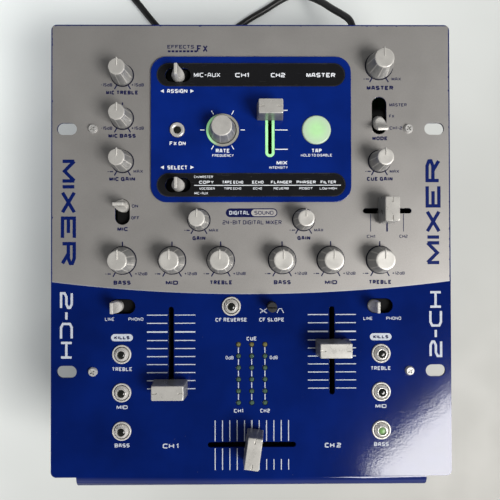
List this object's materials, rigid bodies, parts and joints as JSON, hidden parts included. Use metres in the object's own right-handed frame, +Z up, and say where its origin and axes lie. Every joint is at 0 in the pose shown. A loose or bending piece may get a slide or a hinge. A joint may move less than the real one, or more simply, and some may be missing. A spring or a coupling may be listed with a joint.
{
  "type": "dj mixer",
  "caption": "Tabletop mixer with a folded two-tone face plate, slotted rack ears, knobs, faders, levers, push buttons, a raised effects panel and rear phono sockets.",
  "frame": {"origin": "under the rubber feet, below the middle of the face plate's flat", "axes": "+X to the user's right, +Y to the rear panel, +Z up"},
  "size_m": [0.254, 0.4531, 0.0984],
  "materials": {
    "silver_blue_paint": "satin powder coat, silver above and dark blue below a curved line",
    "blue_paint": "dark blue semi-gloss powder coat",
    "fx_blue_paint": "royal blue semi-gloss paint on the raised panel",
    "window_black": "glossy black acrylic window",
    "lit_green": "translucent green light guide, lit from behind",
    "lamp_green": "moulded epoxy lamp, unlit",
    "silver_plastic": "metallic silver moulded plastic",
    "black_plastic": "black moulded plastic",
    "zinc_steel": "zinc-plated steel",
    "nickel": "nickel-plated brass barrels",
    "board_green": "glass-fibre circuit board with green solder mask",
    "iron_core": "laminated transformer core and copper winding",
    "rubber": "black rubber",
    "cord_black": "black flexible vinyl jacket",
    "tap_green": "translucent pale green cap, lit from behind"
  },
  "bodies": {
    "case": {"face_plate": "silver_blue_paint", "front_wall": "blue_paint", "chassis_tray": "blue_paint", "rear_panel": "blue_paint", "fx_panel": "fx_blue_paint", "display_windows": "window_black", "light_guides": "lit_green", "meter_lamps": "lamp_green", "screws_and_standoffs": "zinc_steel", "rubber_feet": "rubber", "control_board": "board_green", "potentiometers": "zinc_steel", "fader_tracks": "zinc_steel", "switch_bodies": "black_plastic", "button_bezels": "silver_plastic", "main_board": "board_green", "phono_sockets": "nickel", "transformer": "iron_core", "front_jacks": "black_plastic", "power_switch_housing": "black_plastic", "strain_relief": "cord_black", "power_cord": "cord_black", "power_cord_coil": "cord_black", "mains_plug": "cord_black"},
    "mic_treble_knob": {"mic_treble_knob": "silver_plastic"},
    "mic_bass_knob": {"mic_bass_knob": "silver_plastic"},
    "mic_gain_knob": {"mic_gain_knob": "silver_plastic"},
    "cue_gain_knob": {"cue_gain_knob": "silver_plastic"},
    "master_knob": {"master_knob": "silver_plastic"},
    "ch1_gain_knob": {"ch1_gain_knob": "silver_plastic"},
    "ch2_gain_knob": {"ch2_gain_knob": "silver_plastic"},
    "ch1_bass_knob": {"ch1_bass_knob": "silver_plastic"},
    "ch1_mid_knob": {"ch1_mid_knob": "silver_plastic"},
    "ch1_treble_knob": {"ch1_treble_knob": "silver_plastic"},
    "ch2_bass_knob": {"ch2_bass_knob": "silver_plastic"},
    "ch2_mid_knob": {"ch2_mid_knob": "silver_plastic"},
    "ch2_treble_knob": {"ch2_treble_knob": "silver_plastic"},
    "rate_knob": {"rate_knob": "silver_plastic"},
    "slope_shaft": {"slope_shaft": "black_plastic"},
    "ch1_fader": {"ch1_fader": "silver_plastic"},
    "ch2_fader": {"ch2_fader": "silver_plastic"},
    "crossfader": {"crossfader": "silver_plastic"},
    "mix_fader": {"mix_fader": "silver_plastic"},
    "cue_fader": {"cue_fader": "silver_plastic"},
    "assign_lever": {"assign_lever": "silver_plastic"},
    "select_lever": {"select_lever": "silver_plastic"},
    "mode_lever": {"mode_lever": "silver_plastic"},
    "mic_lever": {"mic_lever": "silver_plastic"},
    "ch1_input_lever": {"ch1_input_lever": "silver_plastic"},
    "ch2_input_lever": {"ch2_input_lever": "silver_plastic"},
    "ch1_treble_kill_button": {"ch1_treble_kill_button": "silver_plastic"},
    "ch1_mid_kill_button": {"ch1_mid_kill_button": "silver_plastic"},
    "ch1_bass_kill_button": {"ch1_bass_kill_button": "silver_plastic"},
    "ch2_treble_kill_button": {"ch2_treble_kill_button": "silver_plastic"},
    "ch2_mid_kill_button": {"ch2_mid_kill_button": "silver_plastic"},
    "ch2_bass_kill_button": {"ch2_bass_kill_button": "silver_plastic"},
    "reverse_button": {"reverse_button": "silver_plastic"},
    "fx_on_button": {"fx_on_button": "silver_plastic"},
    "tap_button": {"tap_button": "tap_green"},
    "power_rocker": {"power_rocker": "black_plastic"}
  },
  "joints": [
    {"name": "mic_treble_turn", "type": "hinge", "parent": "case", "child": "mic_treble_knob", "pos_m": [-0.0818, 0.1112, 0.082], "axis": [0, 0, 1], "range_deg": [-150, 150]},
    {"name": "mic_bass_turn", "type": "hinge", "parent": "case", "child": "mic_bass_knob", "pos_m": [-0.0818, 0.0837, 0.082], "axis": [0, 0, 1], "range_deg": [-150, 150]},
    {"name": "mic_gain_turn", "type": "hinge", "parent": "case", "child": "mic_gain_knob", "pos_m": [-0.0818, 0.0562, 0.082], "axis": [0, 0, 1], "range_deg": [-150, 150]},
    {"name": "cue_gain_turn", "type": "hinge", "parent": "case", "child": "cue_gain_knob", "pos_m": [0.0818, 0.0562, 0.082], "axis": [0, 0, 1], "range_deg": [-150, 150]},
    {"name": "master_turn", "type": "hinge", "parent": "case", "child": "master_knob", "pos_m": [0.0818, 0.1172, 0.082], "axis": [0, 0, 1], "range_deg": [-150, 150]},
    {"name": "ch1_gain_turn", "type": "hinge", "parent": "case", "child": "ch1_gain_knob", "pos_m": [-0.0333, 0.019, 0.082], "axis": [0, 0, 1], "range_deg": [-150, 150]},
    {"name": "ch2_gain_turn", "type": "hinge", "parent": "case", "child": "ch2_gain_knob", "pos_m": [0.0333, 0.019, 0.082], "axis": [0, 0, 1], "range_deg": [-150, 150]},
    {"name": "ch1_bass_turn", "type": "hinge", "parent": "case", "child": "ch1_bass_knob", "pos_m": [-0.0818, -0.0066, 0.082], "axis": [0, 0, 1], "range_deg": [-150, 150]},
    {"name": "ch1_mid_turn", "type": "hinge", "parent": "case", "child": "ch1_mid_knob", "pos_m": [-0.0504, -0.0066, 0.082], "axis": [0, 0, 1], "range_deg": [-150, 150]},
    {"name": "ch1_treble_turn", "type": "hinge", "parent": "case", "child": "ch1_treble_knob", "pos_m": [-0.0195, -0.0066, 0.082], "axis": [0, 0, 1], "range_deg": [-150, 150]},
    {"name": "ch2_bass_turn", "type": "hinge", "parent": "case", "child": "ch2_bass_knob", "pos_m": [0.0195, -0.0066, 0.082], "axis": [0, 0, 1], "range_deg": [-150, 150]},
    {"name": "ch2_mid_turn", "type": "hinge", "parent": "case", "child": "ch2_mid_knob", "pos_m": [0.0504, -0.0066, 0.082], "axis": [0, 0, 1], "range_deg": [-150, 150]},
    {"name": "ch2_treble_turn", "type": "hinge", "parent": "case", "child": "ch2_treble_knob", "pos_m": [0.0818, -0.0066, 0.082], "axis": [0, 0, 1], "range_deg": [-150, 150]},
    {"name": "rate_turn", "type": "hinge", "parent": "case", "child": "rate_knob", "pos_m": [-0.0181, 0.076, 0.082], "axis": [0, 0, 1], "continuous": true},
    {"name": "slope_turn", "type": "hinge", "parent": "case", "child": "slope_shaft", "pos_m": [0.0128, -0.0358, 0.082], "axis": [0, 0, 1], "range_deg": [-140, 140]},
    {"name": "ch1_fader_slide", "type": "slide", "parent": "case", "child": "ch1_fader", "axis": [0, 1, 0], "range_m": [0, 0.045]},
    {"name": "ch2_fader_slide", "type": "slide", "parent": "case", "child": "ch2_fader", "axis": [0, 1, 0], "range_m": [-0.025, 0.02]},
    {"name": "crossfader_slide", "type": "slide", "parent": "case", "child": "crossfader", "axis": [1, 0, 0], "range_m": [-0.0233, 0.0217]},
    {"name": "mix_fader_slide", "type": "slide", "parent": "case", "child": "mix_fader", "axis": [0, 1, 0], "range_m": [-0.023, 0.001]},
    {"name": "cue_fader_slide", "type": "slide", "parent": "case", "child": "cue_fader", "axis": [1, 0, 0], "range_m": [-0.0108, 0.0132]},
    {"name": "assign_lever_tilt", "type": "hinge", "parent": "case", "child": "assign_lever", "pos_m": [-0.0465, 0.1113, 0.069], "axis": [0, 1, 0], "range_deg": [-10, 10], "stiffness_Nm_per_rad": 0.06},
    {"name": "select_lever_tilt", "type": "hinge", "parent": "case", "child": "select_lever", "pos_m": [-0.0465, 0.0412, 0.069], "axis": [0, 1, 0], "range_deg": [-10, 10], "stiffness_Nm_per_rad": 0.06},
    {"name": "mode_lever_tilt", "type": "hinge", "parent": "case", "child": "mode_lever", "pos_m": [0.0818, 0.0855, 0.073], "axis": [-1, 0, 0], "range_deg": [0, 62]},
    {"name": "mic_lever_slide", "type": "slide", "parent": "case", "child": "mic_lever", "axis": [0, 1, 0], "range_m": [-0.0078, 0]},
    {"name": "ch1_input_lever_slide", "type": "slide", "parent": "case", "child": "ch1_input_lever", "axis": [1, 0, 0], "range_m": [0, 0.0078]},
    {"name": "ch2_input_lever_slide", "type": "slide", "parent": "case", "child": "ch2_input_lever", "axis": [1, 0, 0], "range_m": [0, 0.0078]},
    {"name": "ch1_treble_kill_press", "type": "slide", "parent": "case", "child": "ch1_treble_kill_button", "axis": [0, 0, -1], "range_m": [0, 0.0012], "stiffness_N_per_m": 350, "springref_m": -0.0006},
    {"name": "ch1_mid_kill_press", "type": "slide", "parent": "case", "child": "ch1_mid_kill_button", "axis": [0, 0, -1], "range_m": [0, 0.0012], "stiffness_N_per_m": 350, "springref_m": -0.0006},
    {"name": "ch1_bass_kill_press", "type": "slide", "parent": "case", "child": "ch1_bass_kill_button", "axis": [0, 0, -1], "range_m": [0, 0.0012], "stiffness_N_per_m": 350, "springref_m": -0.0006},
    {"name": "ch2_treble_kill_press", "type": "slide", "parent": "case", "child": "ch2_treble_kill_button", "axis": [0, 0, -1], "range_m": [0, 0.0012], "stiffness_N_per_m": 350, "springref_m": -0.0006},
    {"name": "ch2_mid_kill_press", "type": "slide", "parent": "case", "child": "ch2_mid_kill_button", "axis": [0, 0, -1], "range_m": [0, 0.0012], "stiffness_N_per_m": 350, "springref_m": -0.0006},
    {"name": "ch2_bass_kill_press", "type": "slide", "parent": "case", "child": "ch2_bass_kill_button", "axis": [0, 0, -1], "range_m": [0, 0.0012], "stiffness_N_per_m": 350, "springref_m": -0.0006},
    {"name": "reverse_press", "type": "slide", "parent": "case", "child": "reverse_button", "axis": [0, 0, -1], "range_m": [0, 0.0012], "stiffness_N_per_m": 350, "springref_m": -0.0006},
    {"name": "fx_on_press", "type": "slide", "parent": "case", "child": "fx_on_button", "axis": [0, 0, -1], "range_m": [0, 0.0012], "stiffness_N_per_m": 350, "springref_m": -0.0006},
    {"name": "tap_press", "type": "slide", "parent": "case", "child": "tap_button", "axis": [0, 0, -1], "range_m": [0, 0.0012], "stiffness_N_per_m": 350, "springref_m": -0.0006},
    {"name": "power_rocker_tilt", "type": "hinge", "parent": "case", "child": "power_rocker", "pos_m": [0.046, 0.1374, 0.042], "axis": [1, 0, 0], "range_deg": [-18, 0]}
  ]
}
